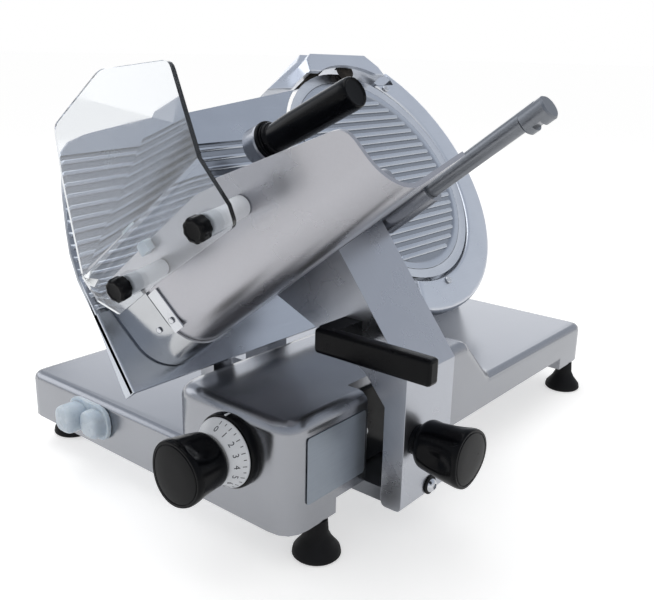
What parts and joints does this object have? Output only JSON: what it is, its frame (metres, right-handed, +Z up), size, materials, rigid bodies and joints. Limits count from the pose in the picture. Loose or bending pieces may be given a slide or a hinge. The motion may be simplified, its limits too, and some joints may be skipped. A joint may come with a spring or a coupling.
{
  "type": "gravity feed slicer",
  "caption": "Inclined disc blade slicer with a ribbed gauge plate, an index knob, a hand pushed carriage with tray, clear guard and pusher, and a cast base on rubber feet.",
  "frame": {"origin": "centre of the bounding box at table level, with the carriage at its front stop", "axes": "+X is the operator's right, +Y points away from the operator along the carriage's travel, +Z is up"},
  "size_m": [0.5016, 0.7132, 0.4193],
  "materials": {
    "cast_aluminium": "satin sand cast and polished",
    "satin_aluminium": "brushed and anodised",
    "blade_steel": "ground and polished",
    "bright_steel": "polished",
    "grey_steel": "machined",
    "black_plastic": "moulded, slightly glossy",
    "black_rubber": "moulded",
    "white_nylon": "turned",
    "pale_cap": "translucent soft cap",
    "clear_plastic": "clear polycarbonate",
    "abrasive": "bonded grit",
    "motor_grey": "painted"
  },
  "bodies": {
    "base": {"base_casting": "cast_aluminium", "base_cover": "bright_steel", "notch_liner": "black_plastic", "notch_screw": "bright_steel", "foot_front_right": "black_rubber", "foot_front_left": "black_rubber", "foot_rear_right": "black_rubber", "foot_rear_left": "black_rubber", "head_casting": "cast_aluminium", "hub_axle": "bright_steel", "motor": "motor_grey", "drive_belt": "black_rubber", "blade_cover": "satin_aluminium", "gauge_guide_post": "cast_aluminium", "index_bezel": "black_plastic", "switch_bezel": "pale_cap", "sharpener_cap": "cast_aluminium", "ring_screw_upper": "bright_steel", "ring_screw_lower": "bright_steel", "slide_rod": "bright_steel", "rating_plate": "bright_steel"},
    "blade": {"blade": "blade_steel", "blade_hub": "grey_steel"},
    "rotor": {"motor_pulley": "grey_steel"},
    "cover_tie": {"cover_tie_knob": "black_plastic"},
    "gauge": {"gauge_plate": "cast_aluminium", "gauge_support": "cast_aluminium", "gauge_guide_bar": "bright_steel"},
    "index": {"index_shaft": "bright_steel", "index_cam": "grey_steel", "index_dial": "white_nylon", "index_knob": "black_plastic"},
    "stop_key": {"stop_button": "pale_cap"},
    "start_key": {"start_button": "pale_cap"},
    "pull_pin": {"sharpener_pin": "bright_steel"},
    "grinding_wheel": {"sharpening_stone": "abrasive"},
    "finishing_wheel": {"deburring_stone": "abrasive"},
    "carriage": {"carriage_slider": "grey_steel", "carriage_arm": "satin_aluminium", "carriage_bolt": "grey_steel", "carriage_handle": "black_plastic", "tray": "satin_aluminium", "tray_nose": "satin_aluminium", "nose_strip": "bright_steel", "nose_rivet": "bright_steel", "strip_rivet": "bright_steel", "tray_catch": "black_plastic", "standoff_upper": "white_nylon", "standoff_lower": "white_nylon", "hand_guard": "clear_plastic", "pusher_rod": "bright_steel", "rod_bracket": "satin_aluminium", "rod_end_block": "satin_aluminium"},
    "carriage_lock": {"lock_knob": "black_plastic"},
    "guard_nut_upper": {"guard_knob_upper": "black_plastic"},
    "guard_nut_lower": {"guard_knob_lower": "black_plastic"},
    "pusher": {"pusher_arm": "cast_aluminium", "pusher_handle": "black_plastic", "pusher_plate": "satin_aluminium"}
  },
  "joints": [
    {"name": "blade_spin", "type": "hinge", "parent": "base", "child": "blade", "pos_m": [-0.07733, 0.16063, 0.2753], "axis": [0.7912, 0, 0.6115], "continuous": true},
    {"name": "rotor_spin", "type": "hinge", "parent": "base", "child": "rotor", "pos_m": [-0.09063, 0.24663, 0.2271], "axis": [0.7912, 0, 0.6115], "continuous": true},
    {"name": "cover_tie_turn", "type": "hinge", "parent": "base", "child": "cover_tie", "pos_m": [-0.1248, 0.16063, 0.23861], "axis": [0.7912, 0, 0.6115], "range_deg": [0, 720]},
    {"name": "index_turn", "type": "hinge", "parent": "base", "child": "index", "pos_m": [0.07817, -0.26177, 0.099], "axis": [0, 1, 0], "range_deg": [0, 300]},
    {"name": "gauge_slide", "type": "slide", "parent": "base", "child": "gauge", "axis": [-0.7912, 0, -0.6115], "range_m": [0, 0.015]},
    {"name": "stop_press", "type": "slide", "parent": "base", "child": "stop_key", "axis": [0, 1, 0], "range_m": [0, 0.003], "stiffness_N_per_m": 800},
    {"name": "start_press", "type": "slide", "parent": "base", "child": "start_key", "axis": [0, 1, 0], "range_m": [0, 0.003], "stiffness_N_per_m": 800},
    {"name": "pin_pull", "type": "slide", "parent": "base", "child": "pull_pin", "axis": [-0.6115, 0, 0.7912], "range_m": [0, 0.005], "stiffness_N_per_m": 400},
    {"name": "grinding_spin", "type": "hinge", "parent": "base", "child": "grinding_wheel", "pos_m": [-0.18308, 0.13663, 0.39578], "axis": [0.7912, 0, 0.6115], "continuous": true},
    {"name": "finishing_spin", "type": "hinge", "parent": "base", "child": "finishing_wheel", "pos_m": [-0.16431, 0.18463, 0.39765], "axis": [0.7912, 0, 0.6115], "continuous": true},
    {"name": "carriage_slide", "type": "slide", "parent": "base", "child": "carriage", "axis": [0, 1, 0], "range_m": [0, 0.3]},
    {"name": "lock_turn", "type": "hinge", "parent": "carriage", "child": "carriage_lock", "pos_m": [0.18317, -0.13777, 0.097], "axis": [1, 0, 0], "range_deg": [-360, 0]},
    {"name": "guard_nut_upper_turn", "type": "hinge", "parent": "carriage", "child": "guard_nut_upper", "pos_m": [0.13513, -0.33914, 0.31111], "axis": [0.1376, -0.9744, -0.178], "range_deg": [0, 360]},
    {"name": "guard_nut_lower_turn", "type": "hinge", "parent": "carriage", "child": "guard_nut_lower", "pos_m": [0.04867, -0.34071, 0.25291], "axis": [0.1376, -0.9744, -0.178], "range_deg": [0, 360]},
    {"name": "pusher_slide", "type": "slide", "parent": "carriage", "child": "pusher", "axis": [0.7912, 0, 0.6115], "range_m": [0, 0.106]}
  ],
  "couplings": [
    {"joint": "rotor_spin", "follows": "blade_spin", "ratio": 3},
    {"joint": "index_turn", "follows": "gauge_slide", "rad_per_m": 349.06}
  ]
}
